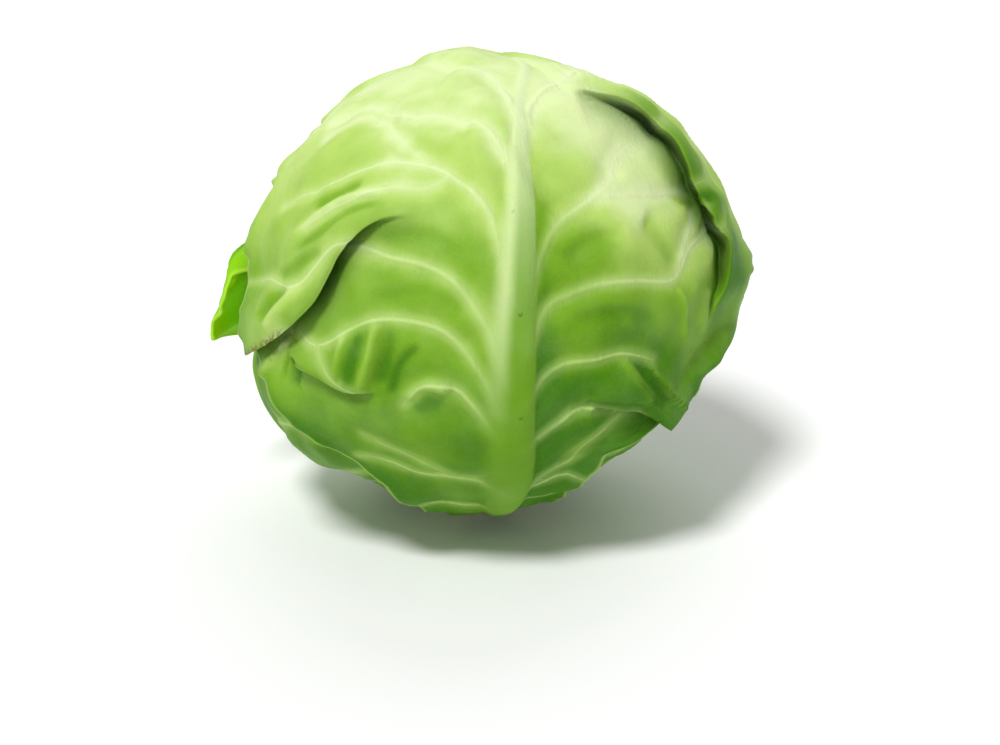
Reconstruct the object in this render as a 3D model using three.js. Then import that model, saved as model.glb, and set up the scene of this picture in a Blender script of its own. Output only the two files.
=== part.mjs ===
// A round white cabbage, trimmed for the shop: a dense heart, four wrapper leaves that clasp it, and the
// cut stump that the leaves grow from and the head stands on.
//
// The head is laid out like a globe. A place on it is a direction from the head's centre, given by its
// azimuth (0 faces -Y, 90 faces +X) and its elevation. Each leaf has a flat chart of its own, in degrees of
// arc from the middle of the leaf: x runs across, y runs along the midrib from the stalk to the tip.
import * as THREE from "three";

// Driving dimensions, in millimetres unless the name says degrees.
const HEART_RADIUS = 84.5;
const HEART_FOOT_RADIUS = 78;
const HEART_FOOT_DEG = [-80, -12];
const CENTRE_HEIGHT = 90;
const STUMP_CUT_RADIUS = 14.6;
const STUMP_TOP_RADIUS = 15.8;
const STUMP_HEIGHT = 11.4;
const BLADE = 1.3;
const FIRST_GAP = 1.3;
const LAYER = 3.3;
const VEIN_HEIGHT = 1.2;
const LOBE_SHARE = 0.022;
const LOBE_TURN_DEG = 5.4;
const VEIN_FLANK_DEG = 1.7;
const VEIN_LEVEL_DEG = 60;
const ROW_GAP_DEG = 9;
const COVER_EDGE_DEG = [8, 22];
const SIDE_BY_SIDE_DEG = [-66, -55];
const FOLD_STEP_DEG = 4.5;
const FOLD_REACH_DEG = 34;
const FLARE_DEPTH_DEG = 17;
const WAVE_DEPTH_DEG = 13;
const LEAF_MIDDLE_DEG = 15;
const STALK_END_DEG = -93.2;
const MARGIN_FREE_DEG = [-88, -60];
const SIDES_JOIN_DEG = 14;

// Where a later leaf covers a leaf, its midrib and its side veins are pressed down to these shares.
const RIB_PRESSED = 0.55;
const VEIN_PRESSED = 0.25;

// Columns over the midrib, as shares of its half width. Each leaf names its own across the blade.
const RIB_COLUMNS = [0, 0.55, 1.15];

// The midrib stands out of the leaf's outer face: [chart y, height] and [chart y, half width in degrees].
const RIB_HEIGHT = [[-92, 4.6], [-60, 5], [-27, 3.8], [13, 2.3], [43, 1.2], [76, 0.6], [100, 0.3]];
const RIB_HALF_DEG = [[-92, 4.6], [-45, 5.8], [-5, 4.4], [29, 2.7], [58, 1.6], [100, 1]];

// Rows of the leaf climb away from the midrib and level out, as its side veins do: [chart y, climb].
const CLIMB = [[-93, 0], [-76, 4], [-60, 10], [-40, 16], [30, 17], [70, 9], [98, 2]];
const CLIMB_REACH_DEG = 11;

// Gentle dents and swellings of the whole head: azimuth, elevation, reach in degrees, height.
const SWELLINGS = [
  { azimuth: 0, elevation: 90, reach: 46, height: -6.5 },
  { azimuth: 100, elevation: 42, reach: 34, height: -4 },
  { azimuth: -85, elevation: 22, reach: 42, height: -6 },
  { azimuth: -75, elevation: -32, reach: 26, height: 8 },
  { azimuth: 170, elevation: 10, reach: 40, height: -1.6 },
  { azimuth: 60, elevation: -10, reach: 30, height: -1.2 },
];

const degrees = Math.PI / 180;

const clamp = (v, low, high) => Math.min(high, Math.max(low, v));

function smooth(from, to, v) {
  const t = clamp((v - from) / (to - from), 0, 1);
  return t * t * (3 - 2 * t);
}

// Reads a value off a short list of [place, value] pairs, straight between them.
function along(pairs, v) {
  if (v <= pairs[0][0]) return pairs[0][1];
  for (let i = 1; i < pairs.length; i++) {
    const [x0, y0] = pairs[i - 1];
    const [x1, y1] = pairs[i];
    if (v <= x1) return y0 + ((y1 - y0) * (v - x0)) / (x1 - x0);
  }
  return pairs[pairs.length - 1][1];
}

function direction(azimuth, elevation) {
  const a = azimuth * degrees;
  const e = elevation * degrees;
  return new THREE.Vector3(Math.sin(a) * Math.cos(e), -Math.cos(a) * Math.cos(e), Math.sin(e));
}

// The wrapper leaves, innermost first. Widths are half widths in degrees at places along the midrib, with
// a list for the right side where the leaf is lopsided. The veins on each side are named by the chart
// height at which they level out, and flares and waves lift the margin off the head.
const LEAVES = [
  {
    name: "left_leaf",
    least: 0,
    azimuth: -84,
    width: [
      [-93, 7.6], [-85, 17], [-80, 27], [-75, 35], [-70, 42], [-60, 53], [-40, 66], [-10, 74], [20, 72],
      [40, 60], [54, 34],
    ],
    left: [-50, -20, 10, 40],
    right: [-54, -24, 6, 36],
    flareLeft: [[-60, 0], [54, 0]],
    flareRight: [[-60, 0], [54, 0]],
    wave: { height: 0.4, length: 31, phase: 2.1 },
    folds: [],
    columns: [0.1, 0.28, 0.46, 0.64, 0.82, 1],
    colour: 0x98c655,
  },
  {
    name: "back_leaf",
    least: 0,
    azimuth: 188,
    width: [
      [-93, 7.6], [-85, 17], [-80, 27], [-75, 35], [-70, 42], [-60, 54], [-42, 70], [-10, 79], [25, 78],
      [50, 64], [64, 44], [72, 24],
    ],
    widthRight: [
      [-93, 7.6], [-85, 17], [-80, 27], [-75, 35], [-70, 42], [-60, 50], [-50, 58], [-44, 68], [-38, 80],
      [-10, 82], [25, 78], [50, 64], [64, 44], [72, 24],
    ],
    left: [-60, -40, -18, 4, 26, 48, 66],
    right: [-60, -43, -26, -9, 10, 28, 46, 64],
    flareLeft: [[-60, 0], [72, 0]],
    flareRight: [[-62, 2], [-36, 8], [-20, 15], [0, 12], [22, 4], [72, 0.5]],
    wave: { height: 1.1, length: 37, phase: 1.0 },
    folds: [{ path: [[28, 30], [44, 24], [60, 12], [84, -12]], height: 4.4, fades: 0.7, upper: 1 }],
    columns: [0.1, 0.24, 0.4, 0.56, 0.72, 0.87, 1],
    colour: 0x8fbf4b,
  },
  {
    name: "right_leaf",
    least: 0,
    azimuth: 97,
    width: [
      [-93, 7.6], [-85, 17], [-80, 27], [-75, 36], [-70, 43], [-60, 52], [-40, 64], [-10, 72], [20, 70],
      [42, 58], [58, 36], [66, 18],
    ],
    left: [-60, -40, -19, 2, 24, 44, 60],
    right: [-58, -42, -25, -8, 10, 28, 45, 59],
    flareLeft: [[-60, 0], [66, 0]],
    flareRight: [[-60, 1], [-30, 3.5], [0, 1.5], [30, 3], [66, 1]],
    wave: { height: 1.2, length: 34, phase: 0.4 },
    folds: [{ path: [[24, 36], [40, 36], [56, 28], [76, 10]], height: 4.4, fades: 0.7, upper: 1 }],
    columns: [0.1, 0.24, 0.4, 0.56, 0.72, 0.87, 1],
    colour: 0x9cc95a,
  },
  {
    name: "front_leaf",
    least: 1,
    azimuth: 9,
    width: [
      [-93, 7.6], [-85, 14], [-80, 18], [-75, 22], [-70, 26], [-60, 34], [-54, 46], [-48, 60], [-30, 80],
      [-5, 88], [30, 88], [50, 80], [70, 66], [84, 46], [93, 26],
    ],
    widthRight: [
      [-93, 7.6], [-85, 14], [-80, 17], [-75, 19], [-65, 20], [-57, 22], [-52, 30], [-46, 43], [-41, 54],
      [-36, 68], [-30, 80], [-5, 88], [30, 88], [50, 80], [70, 66], [84, 46], [93, 26],
    ],
    left: [-64, -50, -35, -19, -4, 10, 28, 38, 54, 70, 86],
    right: [-60, -44, -28, -12, 5, 16, 27, 40, 55, 68, 84],
    flareLeft: [[-60, 1], [-30, 1.5], [-10, 0.5], [20, 0], [93, 0.5]],
    flareRight: [[-60, 1], [-34, 6], [-20, 12], [-8, 9], [6, 3], [20, 1], [93, 1]],
    wave: { height: 1, length: 29, phase: 0.2 },
    folds: [
      {
        path: [[-25, 20], [-38, 18], [-46, 9], [-59, -6], [-92, -22]],
        height: 6.5,
        fades: 0.5,
        upper: -1,
      },
      {
        path: [[19, 60], [35, 62], [58, 56], [70, 36], [75, 15], [92, -8]],
        height: 7,
        fades: 0.75,
        upper: 1,
      },
    ],
    columns: [0.08, 0.2, 0.34, 0.48, 0.61, 0.74, 0.87, 1],
    colour: 0xa6d163,
  },
];

// Leaves that the heart shows between the wrapper leaves, as low steps with a rib each. Close to the
// stump, between these two depths under the centre as shares of the radius, the steps fade out.
const HEART_LEAVES = [
  { azimuth: 40, reach: 74 },
  { azimuth: 165, reach: 72 },
  { azimuth: 290, reach: 76 },
];
const HEART_STEP = 0.9;
const HEART_STEP_WIDTH_DEG = 6;
const HEART_RIB = 0.8;
const HEART_RIB_HALF_DEG = 4;
const HEART_RELIEF_SHARE = 0.55;
const HEART_PLAIN_FOOT = [-0.99, -0.9];
const HEART_AROUND = 36;
const HEART_UP = 20;

for (const leaf of LEAVES) {
  leaf.middle = direction(leaf.azimuth, LEAF_MIDDLE_DEG);
  leaf.across = direction(leaf.azimuth + 90, 0);
  leaf.up = direction(leaf.azimuth, LEAF_MIDDLE_DEG + 90);
  leaf.widthRight ??= leaf.width;
}

const widthAt = (leaf, row, x) => along(x < 0 ? leaf.width : leaf.widthRight, row);

// From a leaf's chart to a direction on the head, and back.
function fromChart(leaf, x, y) {
  const arc = Math.hypot(x, y);
  const turn = arc > 1e-9 ? Math.sin(arc * degrees) / arc : 0;
  return leaf.middle.clone().multiplyScalar(Math.cos(arc * degrees))
    .addScaledVector(leaf.across, x * turn)
    .addScaledVector(leaf.up, y * turn);
}

function toChart(leaf, d) {
  const x = d.dot(leaf.across);
  const y = d.dot(leaf.up);
  const flat = Math.hypot(x, y);
  const arc = Math.atan2(flat, d.dot(leaf.middle)) / degrees;
  return flat > 1e-9 ? [(x * arc) / flat, (y * arc) / flat] : [0, 0];
}

const climbed = (row, x) => row + along(CLIMB, row) * (1 - Math.exp(-Math.abs(x) / CLIMB_REACH_DEG));

// The midrib height at which the row through a chart point leaves the midrib.
function rowOf(x, y) {
  let row = y;
  for (let i = 0; i < 6; i++) row += y - climbed(row, x);
  return row;
}

function ribOf(x, y) {
  return along(RIB_HEIGHT, y) * Math.exp(-((x / along(RIB_HALF_DEG, y)) ** 2) * 1.4);
}

// 1 where the leaf covers a direction, falling to 0 a little outside its margin. Close to the stump the
// leaves lie side by side, so none lifts the next one there.
function cover(leaf, d) {
  const [x, y] = toChart(leaf, d);
  const row = rowOf(x, y);
  const last = leaf.width[leaf.width.length - 1][0];
  const outside = Math.max(Math.abs(x) - widthAt(leaf, row, x), row - last, STALK_END_DEG - row);
  const elevation = Math.asin(clamp(d.z, -1, 1)) / degrees;
  return (1 - smooth(...COVER_EDGE_DEG, outside)) * smooth(...SIDE_BY_SIDE_DEG, elevation);
}

// The heart's radius in a direction, with the head's swellings and the taper towards the stump.
function heartRadius(d) {
  const elevation = Math.asin(clamp(d.z, -1, 1)) / degrees;
  let r = HEART_FOOT_RADIUS + (HEART_RADIUS - HEART_FOOT_RADIUS) * smooth(...HEART_FOOT_DEG, elevation);
  for (const s of SWELLINGS) {
    const away = Math.acos(clamp(d.dot(direction(s.azimuth, s.elevation)), -1, 1)) / degrees;
    r += s.height * Math.exp(-((away / s.reach) ** 2));
  }
  return r;
}

// Where a leaf's inner face lies: over the heart and over every leaf below it, with their midribs.
function seat(index, d) {
  let lift = LEAVES[index].least * LAYER;
  for (let i = 0; i < index; i++) {
    const covered = cover(LEAVES[i], d);
    if (covered === 0) continue;
    const below = seat(i, d) - heartRadius(d) - FIRST_GAP;
    lift = Math.max(lift, covered * (below + LAYER + ribOf(...toChart(LEAVES[i], d))));
  }
  return heartRadius(d) + FIRST_GAP + lift;
}

// 1 where no later leaf lies over a direction, 0 where one does.
function bare(index, d) {
  let free = 1;
  for (let i = index + 1; i < LEAVES.length; i++) free = Math.min(free, 1 - cover(LEAVES[i], d));
  return free;
}

// Signed distance to a fold's path in degrees, positive on its upper side, and the share of the path run.
function nearPath(fold, x, y) {
  let best = { away: Infinity, share: 0, side: 1 };
  const spans = fold.path.length - 1;
  for (let i = 0; i < spans; i++) {
    const [x0, y0] = fold.path[i];
    const [x1, y1] = fold.path[i + 1];
    const run = (x1 - x0) ** 2 + (y1 - y0) ** 2;
    const free = ((x - x0) * (x1 - x0) + (y - y0) * (y1 - y0)) / run;
    const t = clamp(free, 0, 1);
    const away = Math.hypot(x - x0 - t * (x1 - x0), y - y0 - t * (y1 - y0));
    const side = (x1 - x0) * (y - y0) - (y1 - y0) * (x - x0) > 0 ? 1 : -1;
    if (away < best.away - 1e-9) best = { away, share: (i + t) / spans, side };
  }
  return best;
}

function foldOf(leaf, x, y) {
  let lift = 0;
  for (const fold of leaf.folds) {
    const { away, share, side } = nearPath(fold, x, y);
    const signed = away * side * fold.upper;
    const run = smooth(0, 0.3, share) * (1 - smooth(fold.fades, 1, share));
    const across = smooth(-FOLD_STEP_DEG, FOLD_STEP_DEG, signed);
    lift += fold.height * run * across * Math.exp(-((signed / FOLD_REACH_DEG) ** 2));
  }
  return lift;
}

function marginOf(leaf, x, y, row) {
  const inside = widthAt(leaf, row, x) - Math.abs(x);
  const flare = along(x < 0 ? leaf.flareLeft : leaf.flareRight, y);
  const turn = Math.sin((2 * Math.PI * y) / leaf.wave.length + leaf.wave.phase + (x < 0 ? 1.7 : 0));
  const wave = leaf.wave.height * (1 + turn) * (1 - smooth(0, WAVE_DEPTH_DEG, inside));
  return smooth(...MARGIN_FREE_DEG, row) * (flare * (1 - smooth(0, FLARE_DEPTH_DEG, inside)) + wave);
}

// One row of points along each side vein, one on each of its flanks, and rows between the veins no further
// apart than a set gap, so that a leaf bends round the head without its flat faces cutting into the next.
function rowsOf(leaf) {
  const rows = [{ left: STALK_END_DEG, right: STALK_END_DEG, vein: 0 }];
  const last = leaf.width[leaf.width.length - 1][0];
  const fillTo = (left, right) => {
    const from = rows[rows.length - 1];
    const count = Math.ceil(Math.max(left - from.left, right - from.right) / ROW_GAP_DEG);
    for (let i = 1; i < count; i++) {
      const share = i / count;
      rows.push({
        left: from.left + (left - from.left) * share,
        right: from.right + (right - from.right) * share,
        vein: 0,
      });
    }
  };
  leaf.left.forEach((level, i) => {
    const left = rowOf(VEIN_LEVEL_DEG, level);
    const right = rowOf(VEIN_LEVEL_DEG, leaf.right[i]);
    fillTo(left - VEIN_FLANK_DEG, right - VEIN_FLANK_DEG);
    for (const step of [-1, 0, 1]) {
      const offset = step * VEIN_FLANK_DEG;
      rows.push({ left: left + offset, right: right + offset, vein: step === 0 ? 1 : 0 });
    }
  });
  fillTo(last, last);
  rows.push({ left: last, right: last, vein: 0 });
  return rows;
}

function halfWidth(leaf, row, side) {
  const lobe = Math.sin(row / LOBE_TURN_DEG + leaf.wave.phase) + 0.6 * Math.sin(row / LOBE_TURN_DEG / 0.43);
  return widthAt(leaf, row, side) * (1 + LOBE_SHARE * lobe * smooth(-70, -40, row));
}

function sideColumns(leaf, row, side) {
  const width = halfWidth(leaf, row, side);
  const rib = Math.min(along(RIB_HALF_DEG, row), width / 1.5);
  const start = RIB_COLUMNS[RIB_COLUMNS.length - 1] * rib;
  return [...RIB_COLUMNS.map((c) => c * rib), ...leaf.columns.map((c) => start + (width - start) * c)];
}

// A closed solid from a grid of outer and inner points: both faces split alike, joined by a rim.
function shellOf(outer, inner) {
  const rows = outer.length;
  const columns = outer[0].length;
  const positions = [...outer.flat(), ...inner.flat()].flatMap((p) => [p.x, p.y, p.z]);
  const at = (face, i, j) => face * rows * columns + i * columns + j;
  const index = [];
  const quad = (a, b, c, d) => index.push(a, b, c, a, c, d);
  for (let i = 0; i < rows - 1; i++) {
    for (let j = 0; j < columns - 1; j++) {
      quad(at(0, i, j), at(0, i, j + 1), at(0, i + 1, j + 1), at(0, i + 1, j));
      const [a, b, c, d] = [at(1, i, j), at(1, i, j + 1), at(1, i + 1, j + 1), at(1, i + 1, j)];
      index.push(a, c, b, a, d, c);
    }
  }
  for (let j = 0; j < columns - 1; j++) {
    quad(at(0, 0, j + 1), at(0, 0, j), at(1, 0, j), at(1, 0, j + 1));
    quad(at(0, rows - 1, j), at(0, rows - 1, j + 1), at(1, rows - 1, j + 1), at(1, rows - 1, j));
  }
  for (let i = 0; i < rows - 1; i++) {
    quad(at(0, i, 0), at(0, i + 1, 0), at(1, i + 1, 0), at(1, i, 0));
    quad(at(0, i + 1, columns - 1), at(0, i, columns - 1), at(1, i, columns - 1), at(1, i + 1, columns - 1));
  }
  const geometry = new THREE.BufferGeometry();
  geometry.setAttribute("position", new THREE.Float32BufferAttribute(positions, 3));
  geometry.setIndex(index);
  geometry.computeVertexNormals();
  return geometry;
}

function leafGeometry(index) {
  const leaf = LEAVES[index];
  const outer = [];
  const inner = [];
  for (const { left, right, vein } of rowsOf(leaf)) {
    const centre = (left + right) / 2;
    const outerRow = [];
    const innerRow = [];
    const toTheLeft = sideColumns(leaf, left, -1).slice(1).map((x) => -x).reverse();
    for (const x of [...toTheLeft, ...sideColumns(leaf, right, 1)]) {
      const own = x < 0 ? left : right;
      const row = centre + (own - centre) * smooth(0, SIDES_JOIN_DEG, Math.abs(x));
      const y = climbed(row, x);
      const d = fromChart(leaf, x, y);
      const share = Math.abs(x) / widthAt(leaf, own, x);
      const free = bare(index, d);
      const taper = smooth(1, 6, Math.abs(x)) * (1 - 0.8 * smooth(0.5, 1, share));
      const ridge = vein * VEIN_HEIGHT * taper * (VEIN_PRESSED + (1 - VEIN_PRESSED) * free);
      const base = seat(index, d) + free * (foldOf(leaf, x, y) + marginOf(leaf, x, y, own));
      innerRow.push(d.clone().multiplyScalar(base));
      const rib = ribOf(x, y) * (RIB_PRESSED + (1 - RIB_PRESSED) * free);
      outerRow.push(d.multiplyScalar(base + BLADE + Math.max(rib, ridge)));
    }
    outer.push(outerRow);
    inner.push(innerRow);
  }
  return shellOf(outer, inner);
}

function heartGeometry() {
  const geometry = new THREE.SphereGeometry(1, HEART_AROUND, HEART_UP);
  geometry.rotateX(Math.PI / 2);
  const position = geometry.getAttribute("position");
  const d = new THREE.Vector3();
  for (let i = 0; i < position.count; i++) {
    d.fromBufferAttribute(position, i).normalize();
    let step = 0;
    for (const leaf of HEART_LEAVES) {
      const away = Math.acos(clamp(d.dot(direction(leaf.azimuth, LEAF_MIDDLE_DEG)), -1, 1)) / degrees;
      const off = Math.asin(clamp(d.dot(direction(leaf.azimuth + 90, 0)), -1, 1)) / degrees;
      const on = 1 - smooth(leaf.reach, leaf.reach + HEART_STEP_WIDTH_DEG, away);
      step += on * (HEART_STEP + HEART_RIB * Math.exp(-((off / HEART_RIB_HALF_DEG) ** 2)));
    }
    const most = HEART_LEAVES.length * HEART_STEP + HEART_RIB;
    const relief = Math.max(0, most - step) * HEART_RELIEF_SHARE * smooth(...HEART_PLAIN_FOOT, d.z);
    d.multiplyScalar(heartRadius(d) - relief);
    position.setXYZ(i, d.x, d.y, d.z);
  }
  return geometry;
}

// The stump: a flat cut face, a worn lip, and two low rings where older leaves were cut away.
function stumpGeometry() {
  const profile = [
    [0, 0], [STUMP_CUT_RADIUS - 1, 0], [STUMP_CUT_RADIUS, 0.8], [STUMP_CUT_RADIUS + 0.5, 3],
    [STUMP_TOP_RADIUS + 0.2, 4.2], [STUMP_TOP_RADIUS - 0.5, 5.4], [STUMP_TOP_RADIUS + 0.3, 7.6],
    [STUMP_TOP_RADIUS - 0.3, 8.8], [STUMP_TOP_RADIUS, STUMP_HEIGHT - 0.8],
    [STUMP_TOP_RADIUS - 1.2, STUMP_HEIGHT], [0, STUMP_HEIGHT],
  ];
  const geometry = new THREE.LatheGeometry(profile.map(([r, z]) => new THREE.Vector2(r, z)), 28);
  return geometry.rotateX(Math.PI / 2);
}

function leafMaterial(colour) {
  return new THREE.MeshStandardMaterial({ color: colour, roughness: 0.45, metalness: 0 });
}

const cabbage = new THREE.Group();
cabbage.name = "cabbage_head";

const cutStem = new THREE.MeshStandardMaterial({ color: 0xe3e2b4, roughness: 0.7, metalness: 0 });
const stump = new THREE.Mesh(stumpGeometry(), cutStem);
stump.name = "stump";
cabbage.add(stump);

const head = new THREE.Group();
head.position.z = CENTRE_HEIGHT;
cabbage.add(head);

const heart = new THREE.Mesh(heartGeometry(), leafMaterial(0xb5d878));
heart.name = "heart";
head.add(heart);

LEAVES.forEach((leaf, index) => {
  const mesh = new THREE.Mesh(leafGeometry(index), leafMaterial(leaf.colour));
  mesh.name = leaf.name;
  head.add(mesh);
});

export default cabbage;
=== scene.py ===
# %% [markdown]
# # A head of cabbage, leaf by leaf
# A cabbage looks like a ball, but what you see is leaves: thin blades that clasp each other, each with a
# thick midrib and a tree of side veins. A displaced sphere would give lumps without edges. So each wrapper
# leaf is its own mesh here, laid over the ones below it, and only the hidden heart is a plain ball.
# Everything is in metres, and +Z is up.

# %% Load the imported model
import math

import bmesh
import bpy
import numpy as np
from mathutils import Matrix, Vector


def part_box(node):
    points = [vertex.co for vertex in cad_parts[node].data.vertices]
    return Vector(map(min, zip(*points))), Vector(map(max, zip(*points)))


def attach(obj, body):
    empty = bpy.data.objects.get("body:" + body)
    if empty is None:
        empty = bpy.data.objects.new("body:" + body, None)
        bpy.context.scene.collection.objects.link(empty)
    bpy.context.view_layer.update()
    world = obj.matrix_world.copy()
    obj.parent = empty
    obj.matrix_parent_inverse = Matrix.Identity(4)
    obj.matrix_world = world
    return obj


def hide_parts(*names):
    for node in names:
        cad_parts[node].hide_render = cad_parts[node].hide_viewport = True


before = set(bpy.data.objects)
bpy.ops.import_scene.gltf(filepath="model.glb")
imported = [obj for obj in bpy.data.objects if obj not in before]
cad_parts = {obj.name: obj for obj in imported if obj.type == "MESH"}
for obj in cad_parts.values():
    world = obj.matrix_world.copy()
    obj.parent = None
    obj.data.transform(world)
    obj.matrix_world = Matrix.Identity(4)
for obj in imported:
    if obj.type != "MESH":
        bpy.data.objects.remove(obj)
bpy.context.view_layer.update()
MM = 0.001
STUMP_LOW, STUMP_HIGH = (np.array(corner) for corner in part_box("stump"))

# %% [markdown]
# ## The head as a globe
# Every place on the head is a direction from its centre, with an azimuth (0 faces the camera, along -Y) and
# an elevation, as on a globe. A leaf gets a flat chart of its own, in degrees of arc from its middle. The
# chart is what a pattern maker would draw on: x runs across the leaf and y from the stalk to the tip. One
# degree is about 1.6 mm on a head of this size.

# %% Directions and charts
CENTRE = np.array([0.0, 0.0, 90 * MM])
HEAD_RADIUS = 90.0
DEGREE_MM = math.radians(HEAD_RADIUS)
LEAF_MIDDLE = 15.0
STALK_END = -93.2


def direction(azimuth, elevation):
    a, e = np.radians(azimuth), np.radians(elevation)
    return np.stack([np.sin(a) * np.cos(e), -np.cos(a) * np.cos(e), np.sin(e)], -1)


def smooth(low, high, v):
    t = np.clip((np.asarray(v, float) - low) / (high - low), 0, 1)
    return t * t * (3 - 2 * t)


def along(pairs, v):
    places, values = zip(*pairs)
    return np.interp(v, places, values)


class Chart:
    """The flat chart of one leaf, in degrees of arc."""

    def __init__(self, azimuth):
        self.middle = direction(azimuth, LEAF_MIDDLE)
        self.up = direction(azimuth, LEAF_MIDDLE + 90)
        self.across = direction(azimuth + 90, 0)

    def to_head(self, x, y):
        arc = np.hypot(x, y) + 1e-9
        turn = np.sin(np.radians(arc)) / arc
        return (np.cos(np.radians(arc))[..., None] * self.middle + (x * turn)[..., None] * self.across
                + (y * turn)[..., None] * self.up)

    def from_head(self, d):
        x, y = d @ self.across, d @ self.up
        flat = np.hypot(x, y) + 1e-12
        arc = np.degrees(np.arctan2(flat, d @ self.middle))
        return x * arc / flat, y * arc / flat


print("a quarter turn of arc is", round(90 * DEGREE_MM), "mm")

# %% [markdown]
# ## The camera, and reading the photograph
# The camera stands a metre away and looks down on the head at twenty degrees. It is made first, because it
# also tells where a point of the picture lies on the head: a ray from the camera through that pixel meets
# the globe in one place. The veins of the front leaf are marked that way, as short lists of pixels.

# %% Camera
ELEVATION = 20.0
DISTANCE_MM = 1000.0
FOCAL_PIXELS = 2600.0
FRAME_PIXELS = (1000, 745)
HEAD_PIXEL = np.array([480.0, 285.0])
SENSOR_MM = 36.0

to_camera = direction(0, ELEVATION)
picture_right = direction(90, 0)
picture_up = direction(0, ELEVATION + 90)


def ray(pixel):
    """The direction from the camera through a pixel of the photograph."""
    right, down = (np.asarray(pixel, float) - HEAD_PIXEL) / FOCAL_PIXELS
    d = -to_camera + picture_right * right - picture_up * down
    return d / np.linalg.norm(d)


def on_head(pixel, lift=0.0):
    """The direction from the head's centre to where a pixel's ray meets the globe, or passes it closest."""
    start, d = to_camera * DISTANCE_MM, ray(pixel)
    middle = -start @ d
    room = (HEAD_RADIUS + lift) ** 2 - (start @ start - middle**2)
    hit = start + d * (middle - math.sqrt(max(room, 0)))
    return hit / np.linalg.norm(hit)


def make_camera():
    data = bpy.data.cameras.new("camera")
    data.sensor_width = SENSOR_MM
    data.lens = FOCAL_PIXELS / FRAME_PIXELS[0] * SENSOR_MM
    camera = bpy.data.objects.new("camera", data)
    bpy.context.scene.collection.objects.link(camera)
    camera.location = CENTRE + to_camera * DISTANCE_MM * MM
    aim = ray((FRAME_PIXELS[0] / 2, FRAME_PIXELS[1] / 2))
    camera.rotation_euler = Vector(aim).to_track_quat("-Z", "Y").to_euler()
    bpy.context.scene.camera = camera
    return camera


camera = make_camera()
print("lens", round(camera.data.lens, 1), "mm")

# %% [markdown]
# ## The leaves and how they lie on each other
# The real head grew from the inside out: each leaf pressed on the ones before it. The same order is used
# here. A leaf's inner face lies on the heart, plus one layer for each leaf below it, with a soft step where
# a lower leaf ends. That step, seen through the upper leaf, is what makes layered leaves believable.
#
# The table gives each leaf's place and cut. Its width is a list of pairs: a row's height on the chart, and
# half the leaf's width there, both in degrees. A flare is how far the margin stands off the head, in mm.
# The heart isn't a perfect ball either: a few broad swellings and hollows give it the photograph's outline.

# %% Leaf table
HEART_RADIUS, HEART_FOOT_RADIUS, HEART_FOOT = 84.5, 78.0, (-80, -12)
FIRST_GAP, LAYER, BLADE = 1.3, 3.3, 1.3
COVER_EDGE, SIDE_BY_SIDE = (8, 22), (-66, -55)
SWELLINGS = (
    dict(azimuth=0, elevation=90, reach=46, height=-4.8),
    dict(azimuth=100, elevation=42, reach=34, height=-4),
    dict(azimuth=-85, elevation=24, reach=42, height=-8),
    dict(azimuth=-75, elevation=-32, reach=26, height=8),
    dict(azimuth=170, elevation=10, reach=40, height=-1.6),
    dict(azimuth=60, elevation=-10, reach=30, height=-1.2),
)
RIB_HEIGHT = ((-92, 4.6), (-60, 5), (-27, 3.8), (13, 2.3), (43, 1.2), (76, 0.6), (100, 0.3))
RIB_HALF = ((-92, 4.6), (-45, 5.8), (-5, 4.4), (29, 2.7), (58, 1.6), (100, 1))
CLIMB = ((-93, 0), (-76, 4), (-60, 10), (-40, 16), (30, 17), (70, 9), (98, 2))
RIB_SUNK = (40, 62)
CLIMB_REACH = 11.0

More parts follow.
